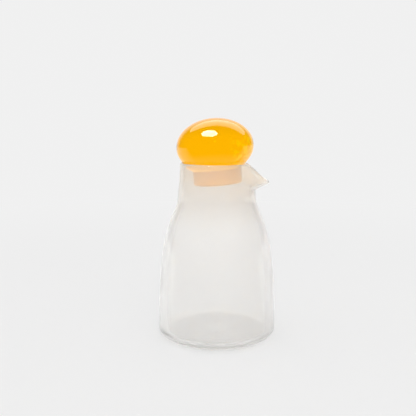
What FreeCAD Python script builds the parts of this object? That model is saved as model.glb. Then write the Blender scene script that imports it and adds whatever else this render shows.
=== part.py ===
import FreeCAD, Part
import math
import os

os.makedirs("parts", exist_ok=True)

# A hand-blown glass carafe with a pulled pouring spout, and the amber glass
# ball stopper that rests in its mouth. Millimetres, +Z up, +X towards the
# spout. The origin is the middle of the flat base.

# Carafe body
rim_height = 150.0  # base to lip, away from the spout
body_radius = 51.0  # outside, just above the heel
heel_radius = 8.0  # rounding between base and side
neck_length = 28.3  # lip down to where the shoulder ends
neck_radius = 33.5  # outside, where the shoulder ends
side_hold = 0.88  # share of the side's height over which it keeps its full width
shoulder_hold = 0.163  # share of it over which the shoulder runs into the neck

# Carafe mouth: pulling the spout narrows the mouth and draws it to the back
rim_radius = 29.0  # outside of the mouth
mouth_shift = 2.6  # middle of the mouth, behind the axis
neck_ease = 1.3  # power of the curve from neck to mouth

# Carafe glass
wall = 2.2  # side and neck
lip_thickness = 2.8  # fire-polished bead round the mouth
lip_band = 6.0  # height over which the wall swells to the lip
floor_thickness = 4.5
inner_heel_radius = 5.5

# Spout
spout_length = 15.1  # from the mouth's radius out to the end of the underside
spout_drop = 17.7  # tip below the rim
spout_depth = 6.3  # tip above the root of the underside
spout_bend = 6.0  # height over which the underside swings out
spout_nose_radius = 4.5  # rounding of the tip, seen from above
lip_dip_start = 7.5  # from the mouth's radius in to where the lip begins to dip
lip_level_pull = 9.0  # how far the lip stays level past there
lip_fall_reach = 10.6  # Bezier handle behind the tip, outwards
lip_fall_height = 7.8  # and upwards

# Stopper
ball_radius = 33.0
ball_half_height = 24.0
stem_radius = 20.5
stem_depth = 32.4  # middle of the ball to the end of the stem
stem_edge_radius = 2.5
stem_root_radius = 2.0  # fillet where the stem leaves the ball
stopper_lean = 4.3  # degrees, away from the spout
seat_clearance = 0.2  # ball to lip

# Rings and columns of points that the neck and spout are drawn through
columns = 96
neck_rows = 24
lip_rows = 6
side_steps = 12  # points on the inner side
joining_gap = 0.001  # tolerance of the joint between neck and body

neck_height = rim_height - neck_length
lip_radius = lip_thickness / 2
lip_start = rim_radius - lip_dip_start
spout_reach = rim_radius + spout_length
tip_height = rim_height - spout_drop
spout_root_height = tip_height - spout_depth


def bezier(points, t):
    """Point at t on a cubic Bezier curve in a plane."""
    weights = ((1 - t) ** 3, 3 * t * (1 - t) ** 2, 3 * t * t * (1 - t), t ** 3)
    return tuple(sum(w * p[axis] for w, p in zip(weights, points)) for axis in (0, 1))


def root_between(function, low, high):
    """Where a rising function passes zero."""
    for _ in range(60):
        middle = (low + high) / 2
        if function(middle) < 0:
            low = middle
        else:
            high = middle
    return (low + high) / 2


def neck_section(height):
    """Radius and middle of the round neck at a height."""
    rise = max(0.0, (height - neck_height) / (rim_height - neck_height))
    radius = neck_radius - (neck_radius - rim_radius) * rise ** neck_ease
    return radius, -mouth_shift * rise ** 2


def spout_share(height):
    """How far out the spout's ridge is at a height, as a share of its most."""
    rise = max(0.0, height - spout_root_height)
    return rise ** 2 / (rise ** 2 + spout_bend ** 2)


tip_neck_radius, tip_neck_middle = neck_section(tip_height)
tip_radius = spout_reach - tip_neck_middle
ridge_most = (tip_radius - tip_neck_radius) / spout_share(tip_height)
tip_tangent = math.sqrt((tip_radius / tip_neck_radius) ** 2 - 1)
nose_angle = tip_tangent / (tip_radius / spout_nose_radius - 1)


def neck_point(height, turn):
    """Point on the outside of the neck and spout; turn 0 faces the spout.

    Two flat cheeks leave the round neck along tangents and meet at the ridge.
    """
    radius, middle = neck_section(height)
    ridge = radius + ridge_most * spout_share(height)
    spread = math.acos(radius / ridge) + nose_angle
    lean_in = max(0.0, spread - math.hypot(turn, nose_angle))
    reach = radius / math.cos(lean_in)
    return FreeCAD.Vector(middle + reach * math.cos(turn), reach * math.sin(turn), height)


lip_curve = (
    (lip_start, rim_height - lip_radius),
    (lip_start + lip_level_pull, rim_height - lip_radius),
    (spout_reach - lip_fall_reach, tip_height + lip_fall_height),
    (spout_reach, tip_height),
)


def lip_line(x):
    """Height of the outer edge of the lip, seen from the side."""
    if x <= lip_start:
        return lip_curve[0][1]
    if x >= spout_reach:
        return tip_height
    t = root_between(lambda s: bezier(lip_curve, s)[0] - x, 0.0, 1.0)
    return bezier(lip_curve, t)[1]


def lip_height(turn):
    """Height of the outer edge of the lip at an angle round the neck."""
    return root_between(
        lambda height: height - lip_line(neck_point(height, turn).x), neck_height, rim_height
    )


turns = [2 * math.pi * column / columns - math.pi for column in range(columns)]


def neck_ring(radius):
    """Level ring where the shoulder ends."""
    return [
        FreeCAD.Vector(radius * math.cos(turn), radius * math.sin(turn), neck_height)
        for turn in turns
    ]


def neck_outside():
    """Rings of the outside from the end of the shoulder up to the lip."""
    rows = [neck_ring(neck_radius)]
    tops = [lip_height(turn) for turn in turns]
    for step in range(1, neck_rows + 1):
        share = step / neck_rows
        rows.append([
            neck_point(neck_height + share * (top - neck_height), turn)
            for top, turn in zip(tops, turns)
        ])
    return rows


def surface_frame(rows, row, column):
    """Outward normal and upward direction of a grid of rings at one point."""
    below = rows[max(row - 1, 0)][column]
    above = rows[min(row + 1, len(rows) - 1)][column]
    along = rows[row][(column + 1) % columns] - rows[row][column - 1]
    normal = along.cross(above - below).normalize()
    return normal, normal.cross(along).normalize()


def glass_thickness(drop):
    """Thickness of the glass at a drop below the lip's edge."""
    fade = min(1.0, drop / lip_band)
    ease = fade * fade * (3 - 2 * fade)
    return lip_thickness + (wall - lip_thickness) * ease


def neck_rings():
    """Rings up the outside of the neck, over the lip and down the inside."""
    outside = neck_outside()
    lip = [[] for _ in range(lip_rows - 1)]
    inside = [neck_ring(neck_radius - wall)] + [[] for _ in range(neck_rows)]
    for column in range(columns):
        edge = outside[-1][column]
        for row in range(1, neck_rows + 1):
            point = outside[row][column]
            normal, upward = surface_frame(outside, row, column)
            inside[row].append(point - normal * glass_thickness((edge - point).Length))
        middle = edge - normal * lip_radius
        for step in range(1, lip_rows):
            angle = math.pi * step / lip_rows
            over = normal * math.cos(angle) + upward * math.sin(angle)
            lip[step - 1].append(middle + over * lip_radius)
    return outside + lip + inside[::-1]


def half_ring(ring, side):
    """Curve through the half of a ring on one side of the spout's plane.

    The middle column faces the spout, and the first one the back.
    """
    half = ring[columns // 2:] + ring[:1] if side > 0 else ring[columns // 2::-1]
    square = FreeCAD.Vector(0, side, 0)
    return Part.Wire(curve_through(half, square, -square))


def curve_through(points, start, finish):
    """Curve through evenly numbered points, between two end directions."""
    curve = Part.BSplineCurve()
    curve.interpolate(
        Points=points,
        Parameters=list(range(len(points))),
        InitialTangent=start * (points[1] - points[0]).Length,
        FinalTangent=finish * (points[-1] - points[-2]).Length,
        Scale=False,
    )
    return curve.toShape()


def make_neck():
    """Glass of the neck and spout, closed by a level ring at the bottom.

    It is skinned in two mirrored halves, so that no seam crosses the spout.
    """
    halves = [[half_ring(ring, side) for ring in neck_rings()] for side in (1, -1)]
    faces = []
    for curves in halves:
        faces += Part.makeLoft(curves, False, False).Faces
    rims = [Part.Wire(halves[0][row].Edges + halves[1][row].Edges) for row in (0, -1)]
    faces.append(Part.makeFace(rims, "Part::FaceMakerBullseye"))
    shell = Part.makeShell(faces)
    shell.sewShape()
    return Part.Solid(shell)


def upright(x, z):
    return FreeCAD.Vector(x, 0, z)


def heel(radius, rounding, floor):
    """Flat from the axis and the rounding from there up to the side."""
    flat = Part.makeLine(upright(0, floor), upright(radius - rounding, floor))
    slant = rounding * math.sqrt(0.5)
    corner = upright(radius - rounding + slant, floor + rounding - slant)
    end = upright(radius, floor + rounding)
    return [flat, Part.Arc(flat.Vertexes[1].Point, corner, end).toShape()]


def make_body():
    """Glass of the body, from the base to the end of the shoulder."""
    side_height = neck_height - heel_radius
    outer = Part.BezierCurve()
    outer.setPoles([
        upright(body_radius, heel_radius),
        upright(body_radius, heel_radius + side_hold * side_height),
        upright(neck_radius, neck_height - shoulder_hold * side_height),
        upright(neck_radius, neck_height),
    ])
    inside = [upright(body_radius - wall, floor_thickness + inner_heel_radius)]
    for step in range(1, side_steps + 1):
        point = outer.value(step / side_steps)
        along = outer.tangent(step / side_steps)[0]
        inside.append(point + upright(-along.z, along.x) * wall)
    outline = heel(body_radius, heel_radius, 0) + [
        outer.toShape(),
        Part.makeLine(inside[-1], outer.value(1)),
        curve_through(inside, upright(0, 1), upright(0, 1)),
        Part.makeLine(upright(0, 0), upright(0, floor_thickness)),
    ] + heel(body_radius - wall, inner_heel_radius, floor_thickness)
    profile = Part.Face(Part.Wire(Part.__sortEdges__(outline)))
    return profile.revolve(upright(0, 0), upright(0, 1), 360)


def make_carafe():
    return make_body().fuse([make_neck()], joining_gap).Solids[0]


def seat_place():
    """Middle of the ball where it rests on the lip, leaning back.

    The ball grown by the lip's radius and the clearance passes through the
    middle of the lip's bead, in front and behind.
    """
    grow = lip_radius + seat_clearance
    wide = 1 / (ball_radius + grow) ** 2
    tall = 1 / (ball_half_height + grow) ** 2
    lean = math.radians(stopper_lean)
    level = wide * math.cos(lean) ** 2 + tall * math.sin(lean) ** 2
    plumb = wide * math.sin(lean) ** 2 + tall * math.cos(lean) ** 2
    skew = (tall - wide) * math.sin(lean) * math.cos(lean)
    bead_radius = rim_radius - lip_radius
    height = math.sqrt((1 - level * bead_radius ** 2) / (plumb - skew ** 2 / level))
    offset = height * skew / level - mouth_shift
    return FreeCAD.Vector(offset, 0, rim_height - lip_radius + height)


def make_stopper():
    """Flattened ball and plug-like stem in one piece, upright at the origin."""
    root_angle = -math.acos(stem_radius / ball_radius)
    root = FreeCAD.Vector(stem_radius, 0, ball_half_height * math.sin(root_angle))
    corner = FreeCAD.Vector(stem_radius, 0, -stem_depth)
    end = FreeCAD.Vector(0, 0, -stem_depth)
    top = FreeCAD.Vector(0, 0, ball_half_height)
    side = FreeCAD.Vector(ball_radius, 0, 0)
    ball = Part.Arc(Part.Ellipse(side, top, FreeCAD.Vector(0, 0, 0)), root_angle, math.pi / 2)
    outline = Part.Wire([
        ball.toShape(),
        Part.makeLine(top, end),
        Part.makeLine(end, corner),
        Part.makeLine(corner, root),
    ])
    solid = Part.Face(outline).revolve(FreeCAD.Vector(0, 0, 0), FreeCAD.Vector(0, 0, 1), 360)
    solid = solid.makeFillet(stem_root_radius, circles_at(solid, root.z))
    return solid.makeFillet(stem_edge_radius, circles_at(solid, corner.z))


def circles_at(solid, height):
    """Round edges of a solid that lie level at a height."""
    near = 0.001
    return [
        edge for edge in solid.Edges
        if abs(edge.BoundBox.ZMin - height) < near and abs(edge.BoundBox.ZMax - height) < near
    ]


carafe = make_carafe()
carafe.exportStep("parts/carafe.step")

stopper = make_stopper()
lean = FreeCAD.Rotation(FreeCAD.Vector(0, 1, 0), -stopper_lean)
stopper.Placement = FreeCAD.Placement(seat_place(), lean)
stopper.exportStep("parts/stopper.step")

for name, solid in (("carafe", carafe), ("stopper", stopper)):
    print(name, solid.isValid(), round(solid.Volume), solid.BoundBox)
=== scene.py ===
import math

import bpy
from mathutils import Matrix, Vector


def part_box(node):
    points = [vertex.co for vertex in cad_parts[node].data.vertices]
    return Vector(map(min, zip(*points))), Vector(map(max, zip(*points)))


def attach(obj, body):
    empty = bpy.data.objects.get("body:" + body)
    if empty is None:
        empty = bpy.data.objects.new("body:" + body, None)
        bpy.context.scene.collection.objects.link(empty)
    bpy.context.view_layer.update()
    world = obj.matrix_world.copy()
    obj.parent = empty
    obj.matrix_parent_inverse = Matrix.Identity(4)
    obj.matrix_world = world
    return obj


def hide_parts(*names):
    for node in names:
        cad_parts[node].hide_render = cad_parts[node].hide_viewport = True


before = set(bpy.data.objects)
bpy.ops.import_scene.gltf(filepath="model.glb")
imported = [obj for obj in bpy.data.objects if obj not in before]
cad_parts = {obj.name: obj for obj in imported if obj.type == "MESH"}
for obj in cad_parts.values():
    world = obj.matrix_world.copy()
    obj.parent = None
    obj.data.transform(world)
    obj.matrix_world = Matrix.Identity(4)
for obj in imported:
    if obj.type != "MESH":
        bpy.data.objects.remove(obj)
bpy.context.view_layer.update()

# A hand-blown carafe of milky glass with the amber glass ball stopper that rests
# in its mouth. Metres, +Z up, +X towards the spout, origin in the middle of the base.

carafe_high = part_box("carafe")[1]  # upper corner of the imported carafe

# Carafe body
rim_height = carafe_high.z
body_radius = carafe_high.y  # outside, just above the heel
heel_radius = 0.008  # rounding between base and side
neck_length = 0.0283  # lip down to where the shoulder ends
neck_height = rim_height - neck_length
neck_radius = 0.0335  # outside, where the shoulder ends
side_hold = 0.88  # share of the side's height over which it keeps its full width
shoulder_hold = 0.163  # share of it over which the shoulder runs into the neck

# Carafe mouth
rim_radius = 0.029  # outside of the mouth
mouth_shift = 0.0026  # middle of the mouth, behind the axis
neck_ease = 1.3  # power of the curve from neck to mouth

# Carafe glass
wall = 0.0022
lip_thickness = 0.0028
lip_radius = lip_thickness / 2
lip_band = 0.006  # height over which the wall swells to the lip
floor_thickness = 0.0045
inner_heel_radius = 0.0055

# Spout
spout_length = 0.0151  # from the mouth's radius out to the end of the underside
spout_drop = 0.0177  # tip below the rim
spout_depth = 0.0063  # tip above the root of the underside
spout_bend = 0.006  # height over which the underside swings out
spout_nose_radius = 0.0045  # rounding of the tip, seen from above
spout_reach = rim_radius + spout_length
tip_height = rim_height - spout_drop
spout_root_height = tip_height - spout_depth
lip_dip_start = 0.0075  # from the mouth's radius in to where the lip begins to dip
lip_start = rim_radius - lip_dip_start
lip_level_pull = 0.009  # how far the lip stays level past there
lip_fall_reach = 0.0106  # curve handle behind the tip, outwards
lip_fall_height = 0.0078  # and upwards

# Stopper
ball_radius = 0.033
ball_half_height = 0.024
stem_radius = 0.0205
stem_depth = 0.0324  # middle of the ball to the end of the stem
stem_edge_radius = 0.0025
stem_root_radius = 0.002  # rounding where the stem leaves the ball
stem_roughness = 0.3  # of its ground surface
stopper_lean = math.radians(4.3)  # away from the spout
seat_clearance = 0.0002  # ball to lip

# Fineness of the meshes
turn_count = 192
side_rows = 60
neck_rows = 48
lip_rows = 10
heel_rows = 12
floor_rows = 4
stem_rows = 6
corner_rows = 8
ball_rows = 96
least_step = 0.001  # between the inner heel's top and the next ring
halvings = 40

# Milky glass
milky_clearness = 0.75  # transmission; the rest is haze
milky_ior = 1.42
milky_roughness = (0.11, 0.17)
painted_reflection_streak_range = (0.985, 1)  # factor on the colour: painted stripes of faint window reflection
milky_tones_and_painted_light = (  # height and colour: darker and warmer in the base, partly the thick glass and partly painted shade under it; warmer in the neck, a painted amber glow from the stopper
    (0, (0.97, 0.953, 0.925)),
    (floor_thickness, (0.98, 0.97, 0.952)),
    (floor_thickness + inner_heel_radius, (1.0, 0.997, 0.992)),
    (0.09, (0.99, 0.985, 0.976)),
    (0.122, (0.94, 0.918, 0.885)),
    (0.14, (0.95, 0.918, 0.865)),
)
milky_depth = (0.86, 0.84, 0.80, 1)  # what thick glass takes on
milky_density = 6

# Amber glass
amber = (1.0, 0.46, 0.0)
seed_and_painted_light_amber = (1.0, 0.64, 0.28)  # painted specks of refracted light, and seeds
ground_amber = (1.0, 0.50, 0.07)  # the stem's ground surface
amber_shine = (1.0, 0.7, 0.5, 1)  # tint of what it mirrors head on
amber_ior = 1.5
amber_roughness = (0.0, 0.02)
ground_blur = 0.002
ground_reach = (rim_height - ground_blur, rim_height + ground_blur)  # ground below
painted_refraction_side = (0.008, 0.018)  # painted specks of refracted light lie past here along +X
seed_size = (0.04, 0.10)  # of a cell, from its middle to where the seed has faded

# Brightness of the room, by what looks at it
backdrop_level = 0.875  # the camera, at the paper behind
room_level = 1.04  # what shines through the glass
mirror_level = 1.04  # what the glass mirrors of the lit paper behind
beside_level = 0.8  # of the paper next to the object
dark_room_level = 0.05  # and of the rest of the room
fill_level = 0.95  # what lights the object from all round
lit_wall = (0.6, 0.88)  # along +Y, where the room turns from dark to lit
lit_behind = (-0.1, 0.05)  # along +Y, the same on the floor
lit_beside = (0.05, 0.3)  # from the axis, where it fades again

# Paper on the floor
paper_half = 6.0
paper_colour = (0.84, 0.84, 0.84, 1)
paper_glow_share = 0.65
paper_fade = (0.3, 0.9)  # from the axis, where it turns into plain background
shade_glow_share = 0.2  # under the object, where the glow drops: a painted shade disc that deepens the real shadow
shade_edge = 0.0465
shade_blur = 0.004

# Lamps
spark_from_ball = Vector((-0.24, -0.29, 0.94))
window_place = (0.45, -1.1, 0.5)
overhead_place = Vector((0.35, 1.0, 1.35))
overhead_target = Vector((0.35, 1.0, 0))

# Eye, with its sensor and lens in millimetres
eye_place = (-0.0076, -0.5212, 0.1864)
eye_dip = math.radians(8.25)
eye_sensor = 36
eye_lens = 52.78846


def bezier(points, t):
    """Point at t on a cubic Bezier curve."""
    weights = ((1 - t) ** 3, 3 * t * (1 - t) ** 2, 3 * t * t * (1 - t), t ** 3)
    return tuple(sum(w * p[axis] for w, p in zip(weights, points)) for axis in (0, 1))


def root_between(function, low, high):
    """Where a rising function passes zero."""
    for _ in range(halvings):
        middle = (low + high) / 2
        if function(middle) < 0:
            low = middle
        else:
            high = middle
    return (low + high) / 2


def neck_section(height):
    """Radius and middle of the round neck at a height."""
    rise = max(0.0, (height - neck_height) / (rim_height - neck_height))
    radius = neck_radius - (neck_radius - rim_radius) * rise ** neck_ease
    return radius, -mouth_shift * rise ** 2


def spout_share(height):
    """How far out the spout's ridge is at a height, as a share of its most."""
    rise = max(0.0, height - spout_root_height)
    return rise ** 2 / (rise ** 2 + spout_bend ** 2)


tip_neck_radius, tip_neck_middle = neck_section(tip_height)
tip_radius = spout_reach - tip_neck_middle
ridge_most = (tip_radius - tip_neck_radius) / spout_share(tip_height)
tip_tangent = math.sqrt((tip_radius / tip_neck_radius) ** 2 - 1)
nose_angle = tip_tangent / (tip_radius / spout_nose_radius - 1)


def neck_point(height, turn):
    """Point on the outside of the neck and spout; turn 0 faces the spout."""
    radius, middle = neck_section(height)
    ridge = radius + ridge_most * spout_share(height)
    spread = math.acos(radius / ridge) + nose_angle
    lean_in = max(0.0, spread - math.hypot(turn, nose_angle))
    reach = radius / math.cos(lean_in)
    return Vector((middle + reach * math.cos(turn), reach * math.sin(turn), height))


lip_curve = (
    (lip_start, rim_height - lip_radius),
    (lip_start + lip_level_pull, rim_height - lip_radius),
    (spout_reach - lip_fall_reach, tip_height + lip_fall_height),
    (spout_reach, tip_height),
)


def lip_line(x):
    """Height of the outer edge of the lip, seen from the side."""
    if x <= lip_start:
        return lip_curve[0][1]
    if x >= spout_reach:
        return tip_height
    t = root_between(lambda s: bezier(lip_curve, s)[0] - x, 0.0, 1.0)
    return bezier(lip_curve, t)[1]


def lip_height(turn):
    """Height of the outer edge of the lip at an angle round the neck."""
    return root_between(
        lambda height: height - lip_line(neck_point(height, turn).x), neck_height, rim_height
    )


turns = [2 * math.pi * column / turn_count - math.pi for column in range(turn_count)]


def level_ring(radius, height):
    """Round ring about the axis."""
    return [Vector((radius * math.cos(a), radius * math.sin(a), height)) for a in turns]


def flat_rings(radius, height):
    """Rings on a flat floor, from near the axis to short of the radius."""
    return [level_ring(radius * step / floor_rows, height) for step in range(1, floor_rows)]


def heel_rings(radius, rounding, floor):
    """Rings round the rounding between a flat floor and an upright side."""
    rings = []
    for step in range(heel_rows):
        angle = math.pi / 2 * step / heel_rows
        reach = radius - rounding + rounding * math.sin(angle)
        rings.append(level_ring(reach, floor + rounding * (1 - math.cos(angle))))
    return rings


def side_outline():
    """Outside of the body as radius and height, and the direction that faces out."""
    side_height = neck_height - heel_radius
    curve = (
        (body_radius, heel_radius),
        (body_radius, heel_radius + side_hold * side_height),
        (neck_radius, neck_height - shoulder_hold * side_height),
        (neck_radius, neck_height),
    )
    rows = []
    nudge = 0.001  # along the curve, to find its direction
    for step in range(side_rows + 1):
        t = step / side_rows
        before = bezier(curve, t - nudge)
        after = bezier(curve, t + nudge)
        along = Vector((after[0] - before[0], after[1] - before[1])).normalized()
        rows.append((bezier(curve, t), (along.y, -along.x)))
    return rows


def neck_outside():
    """Rings of the outside from the end of the shoulder up to the lip."""
    tops = [lip_height(turn) for turn in turns]
    rows = []
    for step in range(neck_rows + 1):
        share = step / neck_rows
        rows.append([
            neck_point(neck_height + share * (top - neck_height), turn)
            for top, turn in zip(tops, turns)
        ])
    return rows


def surface_frame(rows, row, column):
    """Outward normal and upward direction of a grid of rings at one point."""
    below = rows[max(row - 1, 0)][column]
    above = rows[min(row + 1, len(rows) - 1)][column]
    along = rows[row][(column + 1) % turn_count] - rows[row][column - 1]
    normal = along.cross(above - below).normalized()
    return normal, normal.cross(along).normalized()


def glass_thickness(drop):
    """Thickness of the glass at a drop below the lip's edge."""
    fade = min(1.0, drop / lip_band)
    ease = fade * fade * (3 - 2 * fade)
    return lip_thickness + (wall - lip_thickness) * ease


def neck_rings():
    """Rings up the outside of the neck, over the lip and down the inside."""
    outside = neck_outside()
    lip = [[] for _ in range(lip_rows - 1)]
    inside = [[] for _ in range(neck_rows + 1)]
    for column in range(turn_count):
        edge = outside[-1][column]
        for row in range(neck_rows + 1):
            point = outside[row][column]
            normal, upward = surface_frame(outside, row, column)
            inside[row].append(point - normal * glass_thickness((edge - point).length))
        middle = edge - normal * lip_radius
        for step in range(1, lip_rows):
            angle = math.pi * step / lip_rows
            over = normal * math.cos(angle) + upward * math.sin(angle)
            lip[step - 1].append(middle + over * lip_radius)
    return outside[1:] + lip + inside[:0:-1]


def carafe_rings():
    """Rings from the middle of the base, over the lip, to the middle of the floor."""
    side = side_outline()
    outer = [level_ring(*point) for point, _ in side]
    inner = [
        level_ring(point[0] - wall * out[0], point[1] - wall * out[1])
        for point, out in side
    ]
    inner_radius = body_radius - wall
    rise = level_ring(inner_radius, floor_thickness + inner_heel_radius)
    inner = [rise] + [ring for ring in inner if ring[0].z > rise[0].z + least_step]
    floor = flat_rings(inner_radius - inner_heel_radius, floor_thickness)
    return (
        flat_rings(body_radius - heel_radius, 0)
        + heel_rings(body_radius, heel_radius, 0)
        + outer
        + neck_rings()
        + inner[::-1]
        + heel_rings(inner_radius, inner_heel_radius, floor_thickness)[::-1]
        + floor[::-1]
    )


def ring_mesh(name, rings):
    """Smooth closed mesh through rings of points, with a point at each end."""
    count = len(rings[0])
    points = [point for ring in rings for point in ring]
    faces = []
    for row in range(len(rings) - 1):
        for column in range(count):
            beside = (column + 1) % count
            faces.append((
                row * count + column,
                row * count + beside,
                (row + 1) * count + beside,
                (row + 1) * count + column,
            ))
    for ring, first in ((rings[0], 0), (rings[-1], (len(rings) - 1) * count)):
        middle = len(points)
        points.append(sum(ring, Vector()) / count)
        for column in range(count):
            face = (middle, first + (column + 1) % count, first + column)
            faces.append(face if first == 0 else face[::-1])
    mesh = bpy.data.meshes.new(name)
    mesh.from_pydata(points, [], faces)
    mesh.shade_smooth()
    piece = bpy.data.objects.new(name, mesh)
    bpy.context.scene.collection.objects.link(piece)
    return piece


def seat_place():
    """Middle of the ball where it rests on the lip, leaning back.

    The ball grown by the lip's radius and the clearance passes through the
    middle of the lip's bead, in front and behind.
    """
    grow = lip_radius + seat_clearance
    wide = 1 / (ball_radius + grow) ** 2
    tall = 1 / (ball_half_height + grow) ** 2
    level = wide * math.cos(stopper_lean) ** 2 + tall * math.sin(stopper_lean) ** 2
    plumb = wide * math.sin(stopper_lean) ** 2 + tall * math.cos(stopper_lean) ** 2
    skew = (tall - wide) * math.sin(stopper_lean) * math.cos(stopper_lean)
    bead_radius = rim_radius - lip_radius
    height = math.sqrt((1 - level * bead_radius ** 2) / (plumb - skew ** 2 / level))
    offset = height * skew / level - mouth_shift
    return Vector((offset, 0, rim_height - lip_radius + height))


def rounded_corner(before, corner, after, rounding):
    """Points of a soft curve that cuts a corner between two directions."""
    arrive = (before - corner).normalized()
    leave = (after - corner).normalized()
    cut = rounding / math.tan(arrive.angle(leave) / 2)
    start = corner + arrive * cut
    end = corner + leave * cut
    return [
        start * (1 - s) ** 2 + corner * 2 * s * (1 - s) + end * s ** 2
        for s in (step / corner_rows for step in range(corner_rows + 1))
    ]


def stopper_outline():
    """Ball and stem as radius and height, from the end of the stem to the top."""
    root_angle = -math.acos(stem_radius / ball_radius)
    arc = []
    for step in range(ball_rows + 1):
        angle = root_angle + (math.pi / 2 - root_angle) * step / ball_rows
        arc.append(Vector((ball_radius * math.cos(angle), ball_half_height * math.sin(angle))))
    corner = Vector((stem_radius, -stem_depth))
    end = [Vector((stem_radius * step / stem_rows, -stem_depth)) for step in range(1, stem_rows)]
    root = rounded_corner(corner, arc[0], arc[2], stem_root_radius)
    edge = rounded_corner(end[0], corner, arc[0], stem_edge_radius)
    stem = [edge[-1].lerp(root[0], step / stem_rows) for step in range(1, stem_rows)]
    ball = [point for point in arc if point.x > root[-1].x or point.y > 0][:-1]
    return end + edge + stem + root + ball


def ball_place():
    """From the ball's own axes to where it rests on the lip."""
    return Matrix.Translation(seat_place()) @ Matrix.Rotation(-stopper_lean, 4, "Y")


def stopper_mesh():
    """Ball and stem, made upright about the axis and then set down on the lip."""
    rings = [level_ring(point.x, point.y) for point in stopper_outline()]
    piece = ring_mesh("stopper_glass", rings)
    piece.data.transform(ball_place())
    return piece


def glass(name, transmission, ior):
    """Glass material and its shader, to be given colour, roughness and relief."""
    material = bpy.data.materials.new(name)
    material.use_nodes = True
    shader = material.node_tree.nodes["Principled BSDF"]
    shader.inputs["Transmission Weight"].default_value = transmission
    shader.inputs["IOR"].default_value = ior
    return material, shader


def object_place(tree):
    """Where a point is on the object, in metres."""
    return tree.nodes.new("ShaderNodeTexCoord").outputs["Object"]


def place_along(tree, axis):
    """Where a point of the object is along an axis, in metres."""
    axes = tree.nodes.new("ShaderNodeSeparateXYZ")
    tree.links.new(object_place(tree), axes.inputs[0])
    return axes.outputs[axis]


def noise(tree, scale, detail, tallness=1):
    """Noise that keeps to the object, drawn out upwards by its tallness."""
    stretch = tree.nodes.new("ShaderNodeMapping")
    stretch.inputs["Scale"].default_value = (1, 1, 1 / tallness)
    tree.links.new(object_place(tree), stretch.inputs["Vector"])
    node = tree.nodes.new("ShaderNodeTexNoise")
    node.inputs["Scale"].default_value = scale
    node.inputs["Detail"].default_value = detail
    tree.links.new(stretch.outputs["Vector"], node.inputs["Vector"])
    return node.outputs["Fac"]


def remap(tree, source, reach, values, kind="LINEAR"):
    """The first value where the source is at the start of its reach, the second at its end."""
    node = tree.nodes.new("ShaderNodeMapRange")
    node.interpolation_type = kind
    for socket, value in zip(("From Min", "From Max", "To Min", "To Max"), (*reach, *values)):
        node.inputs[socket].default_value = value
    tree.links.new(source, node.inputs["Value"])
    return node.outputs["Result"]


def spread(tree, source, values):
    """A noise's usual range, spread over two values."""
    return remap(tree, source, (0.3, 0.7), values)


def ramp(tree, source, reach, values=(0, 1)):
    """Smooth step from one value to another over a reach of the source."""
    return remap(tree, source, reach, values, "SMOOTHSTEP")


def math_node(tree, operation, first, second):
    """Result of an operation on two values, each a number or a socket."""
    node = tree.nodes.new("ShaderNodeMath")
    node.operation = operation
    for socket, value in zip(node.inputs, (first, second)):
        if isinstance(value, (int, float)):
            socket.default_value = value
        else:
            tree.links.new(value, socket)
    return node.outputs[0]


def choice(tree, switch, on, off):
    """The value on where the switch is 1, and off where it is 0."""
    change = math_node(tree, "SUBTRACT", on, off)
    return math_node(tree, "ADD", off, math_node(tree, "MULTIPLY", switch, change))


def blend(tree, share, first, second):
    """The first colour where the share is 0, the second where it is 1."""
    node = tree.nodes.new("ShaderNodeMix")
    node.data_type = "RGBA"
    tree.links.new(share, node.inputs["Factor"])
    for socket, colour in (("A", first), ("B", second)):
        if isinstance(colour, tuple):
            node.inputs[socket].default_value = (*colour, 1)
        else:
            tree.links.new(colour, node.inputs[socket])
    return node.outputs["Result"]


def colour_by_height(tree, tones):
    """Colour that changes smoothly through the tones, given as height and colour."""
    low, high = tones[0][0], tones[-1][0]
    node = tree.nodes.new("ShaderNodeValToRGB")
    node.color_ramp.interpolation = "EASE"
    marks = node.color_ramp.elements
    for _ in tones[2:]:
        marks.new(0.5)
    for mark, (height, colour) in zip(marks, tones):
        mark.position = (height - low) / (high - low)
        mark.color = (*colour, 1)
    share = remap(tree, place_along(tree, "Z"), (low, high), (0, 1))
    tree.links.new(share, node.inputs["Fac"])
    return node.outputs["Color"]


def scaled(tree, colour, factor):
    """A colour made darker or lighter by a factor."""
    node = tree.nodes.new("ShaderNodeVectorMath")
    node.operation = "SCALE"
    tree.links.new(colour, node.inputs[0])
    tree.links.new(factor, node.inputs["Scale"])
    return node.outputs["Vector"]


def relief(tree, shader, source, strength, distance):
    """Fine relief of the surface, high where the source is high."""
    node = tree.nodes.new("ShaderNodeBump")
    node.inputs["Strength"].default_value = strength
    node.inputs["Distance"].default_value = distance
    tree.links.new(source, node.inputs["Height"])
    tree.links.new(node.outputs["Normal"], shader.inputs["Normal"])


def milky_glass():
    """Faintly clouded clear glass, with the slow waves of blown glass, painted shade in the base, a
    painted amber glow in the neck and painted stripes of reflection.
    """
    material, shader = glass("milky_glass", transmission=milky_clearness, ior=milky_ior)
    tree = material.node_tree
    cloud = spread(tree, noise(tree, scale=60, detail=3), milky_roughness)
    tree.links.new(cloud, shader.inputs["Roughness"])
    # Painted upright stripes of window reflection, drawn in the colour.
    painted_reflection_streaks = spread(tree, noise(tree, scale=70, detail=2, tallness=8), painted_reflection_streak_range)
    # The colour by height holds painted shade in the base and a painted amber glow in the neck.
    tones = scaled(tree, colour_by_height(tree, milky_tones_and_painted_light), painted_reflection_streaks)
    tree.links.new(tones, shader.inputs["Base Color"])
    relief(tree, shader, noise(tree, scale=35, detail=1), strength=0.08, distance=0.002)
    depth = tree.nodes.new("ShaderNodeVolumeAbsorption")
    depth.inputs["Color"].default_value = milky_depth
    depth.inputs["Density"].default_value = milky_density
    tree.links.new(depth.outputs[0], tree.nodes["Material Output"].inputs["Volume"])
    return material


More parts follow.
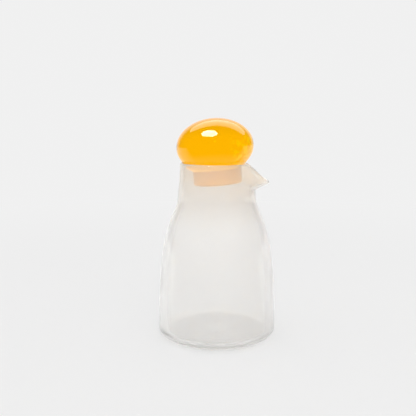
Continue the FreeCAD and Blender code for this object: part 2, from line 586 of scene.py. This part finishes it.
def painted_refraction_specks(tree):
    """1 on the painted pale specks of refracted light, which lie in patches on one side of the
    ball.
    """
    specks = ramp(tree, noise(tree, scale=260, detail=3), (0.45, 0.56))
    side = ramp(tree, place_along(tree, "X"), painted_refraction_side)
    patches = ramp(tree, noise(tree, scale=60, detail=1), (0.42, 0.55))
    return math_node(tree, "MULTIPLY", specks, math_node(tree, "MULTIPLY", side, patches))


def seeds(tree):
    """1 on the seeds, the tiny bubbles of hand-made glass."""
    cells = tree.nodes.new("ShaderNodeTexVoronoi")
    cells.inputs["Scale"].default_value = 75
    tree.links.new(object_place(tree), cells.inputs["Vector"])
    return ramp(tree, cells.outputs["Distance"], seed_size, (1, 0))


def amber_glass():
    """Clear deep amber glass with seeds, painted pale specks of refracted light on one side, and a
    ground stem.
    """
    material, shader = glass("amber_glass", transmission=1, ior=amber_ior)
    shader.inputs["Specular Tint"].default_value = amber_shine
    tree = material.node_tree
    height = place_along(tree, "Z")
    polish = spread(tree, noise(tree, scale=90, detail=2), amber_roughness)
    ground = ramp(tree, height, ground_reach, (stem_roughness, 0))
    tree.links.new(math_node(tree, "ADD", polish, ground), shader.inputs["Roughness"])
    relief(tree, shader, noise(tree, scale=50, detail=1), strength=0.02, distance=0.001)
    # Seeds, and painted specks of refracted light on one side of the ball.
    marks = math_node(tree, "MAXIMUM", painted_refraction_specks(tree), seeds(tree))
    body = blend(tree, marks, amber, seed_and_painted_light_amber)
    colour = blend(tree, ramp(tree, height, ground_reach, (1, 0)), body, ground_amber)
    tree.links.new(colour, shader.inputs["Base Color"])
    return material


def dress(piece, material):
    """Gives a piece its material and slot; the whole part is one body."""
    piece.data.materials.append(material)
    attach(piece, "root")


def paper_level(tree, away, path, mirrored):
    """How bright the paper glows, for each kind of ray that meets it."""
    behind = ramp(tree, place_along(tree, "Y"), lit_behind, (dark_room_level, mirror_level))
    beside = ramp(tree, away, lit_beside, (beside_level, dark_room_level))
    level = choice(tree, mirrored, math_node(tree, "MAXIMUM", behind, beside), room_level)
    return choice(tree, path.outputs["Is Camera Ray"], backdrop_level, level)


def paper_glow(tree, away, path, mirrored):
    """Share of the glow in the paper's look: least in the shade, all of it far away."""
    shade = (shade_edge - shade_blur, shade_edge)
    # Less glow under the object: painted shade.
    near = ramp(tree, away, shade, (shade_glow_share, paper_glow_share))
    far = ramp(tree, away, paper_fade, (0, 1 - paper_glow_share))
    share = choice(tree, mirrored, 1, math_node(tree, "ADD", near, far))
    seen = math_node(tree, "SUBTRACT", 1, path.outputs["Is Diffuse Ray"])
    return math_node(tree, "MULTIPLY", share, seen)


def paper():
    """White paper that takes the object's shadow near it, deepened by a painted shade disc where
    its glow drops under the object, and glows evenly far away.
    """
    material = bpy.data.materials.new("paper")
    material.use_nodes = True
    tree = material.node_tree
    shader = tree.nodes["Principled BSDF"]
    shader.inputs["Base Color"].default_value = paper_colour
    shader.inputs["Roughness"].default_value = 1
    shader.inputs["Specular IOR Level"].default_value = 0
    length = tree.nodes.new("ShaderNodeVectorMath")
    length.operation = "LENGTH"
    tree.links.new(object_place(tree), length.inputs[0])
    away = length.outputs["Value"]
    path = tree.nodes.new("ShaderNodeLightPath")
    # A ray through rough glass counts as glossy too, and isn't a mirrored one.
    opaque = math_node(tree, "SUBTRACT", 1, path.outputs["Is Transmission Ray"])
    mirrored = math_node(tree, "MULTIPLY", path.outputs["Is Glossy Ray"], opaque)
    glow = tree.nodes.new("ShaderNodeEmission")
    tree.links.new(paper_level(tree, away, path, mirrored), glow.inputs["Strength"])
    mix = tree.nodes.new("ShaderNodeMixShader")
    tree.links.new(paper_glow(tree, away, path, mirrored), mix.inputs[0])
    tree.links.new(shader.outputs[0], mix.inputs[1])
    tree.links.new(glow.outputs[0], mix.inputs[2])
    tree.links.new(mix.outputs[0], tree.nodes["Material Output"].inputs["Surface"])
    return material


def pale_floor():
    """Wide sheet of paper under the object."""
    corners = [(x * paper_half, y * paper_half, 0) for x, y in ((-1, -1), (1, -1), (1, 1), (-1, 1))]
    mesh = bpy.data.meshes.new("floor")
    mesh.from_pydata(corners, [], [(0, 1, 2, 3)])
    mesh.materials.append(paper())
    floor = bpy.data.objects.new("floor", mesh)
    bpy.context.scene.collection.objects.link(floor)


def light_room():
    """Even fill for the object, in a dark room with white paper behind it."""
    world = bpy.data.worlds.new("room")
    world.use_nodes = True
    tree = world.node_tree
    place = tree.nodes.new("ShaderNodeTexCoord")
    axes = tree.nodes.new("ShaderNodeSeparateXYZ")
    tree.links.new(place.outputs["Generated"], axes.inputs[0])
    mirrored = ramp(tree, axes.outputs["Y"], lit_wall, (dark_room_level, mirror_level))
    path = tree.nodes.new("ShaderNodeLightPath")
    level = choice(tree, path.outputs["Is Glossy Ray"], mirrored, fill_level)
    level = choice(tree, path.outputs["Is Transmission Ray"], room_level, level)
    level = choice(tree, path.outputs["Is Camera Ray"], backdrop_level, level)
    background = tree.nodes["Background"]
    background.inputs["Color"].default_value = (1, 1, 1, 1)
    tree.links.new(level, background.inputs["Strength"])
    bpy.context.scene.world = world


def softbox(name, place, target, size, radiance, shape="RECTANGLE", unseen=()):
    """Area lamp that faces a target, as bright as radiance all over its face."""
    lamp = bpy.data.lights.new(name, "AREA")
    lamp.shape = shape
    lamp.size, lamp.size_y = size
    area = size[0] * size[1] * (math.pi / 4 if shape == "ELLIPSE" else 1)
    lamp.energy = math.pi * area * radiance
    piece = bpy.data.objects.new(name, lamp)
    piece.location = place
    piece.rotation_euler = (Vector(target) - Vector(place)).to_track_quat("-Z", "Y").to_euler()
    for kind in unseen:
        setattr(piece, kind, False)
    bpy.context.scene.collection.objects.link(piece)


def light_object():
    """Small bright lamp for the highlight, a soft one in front and a wide one behind."""
    ball = seat_place()
    softbox(
        "spark", ball + spark_from_ball, ball, size=(0.70, 0.52), radiance=28,
        shape="ELLIPSE", unseen=("visible_diffuse", "visible_transmission"),
    )
    softbox(
        "window", window_place, ball, size=(1.0, 0.9), radiance=0.9,
        unseen=("visible_glossy", "visible_transmission"),
    )
    softbox(
        "overhead", overhead_place, overhead_target, size=(3.0, 1.25), radiance=2.3,
        shape="ELLIPSE", unseen=("visible_diffuse",),
    )


def make_camera():
    """Eye a little above the rim, looking along +Y and slightly down."""
    camera = bpy.data.cameras.new("camera")
    camera.sensor_width = eye_sensor
    camera.lens = eye_lens
    piece = bpy.data.objects.new("camera", camera)
    piece.location = eye_place
    piece.rotation_euler = (math.pi / 2 - eye_dip, 0, 0)
    bpy.context.scene.collection.objects.link(piece)
    bpy.context.scene.camera = piece


carafe = ring_mesh("carafe_glass", carafe_rings())
dress(carafe, milky_glass())
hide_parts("carafe")
stopper = stopper_mesh()
dress(stopper, amber_glass())
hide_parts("stopper")

pale_floor()
light_room()
light_object()
make_camera()
bpy.context.scene.view_settings.view_transform = "Standard"
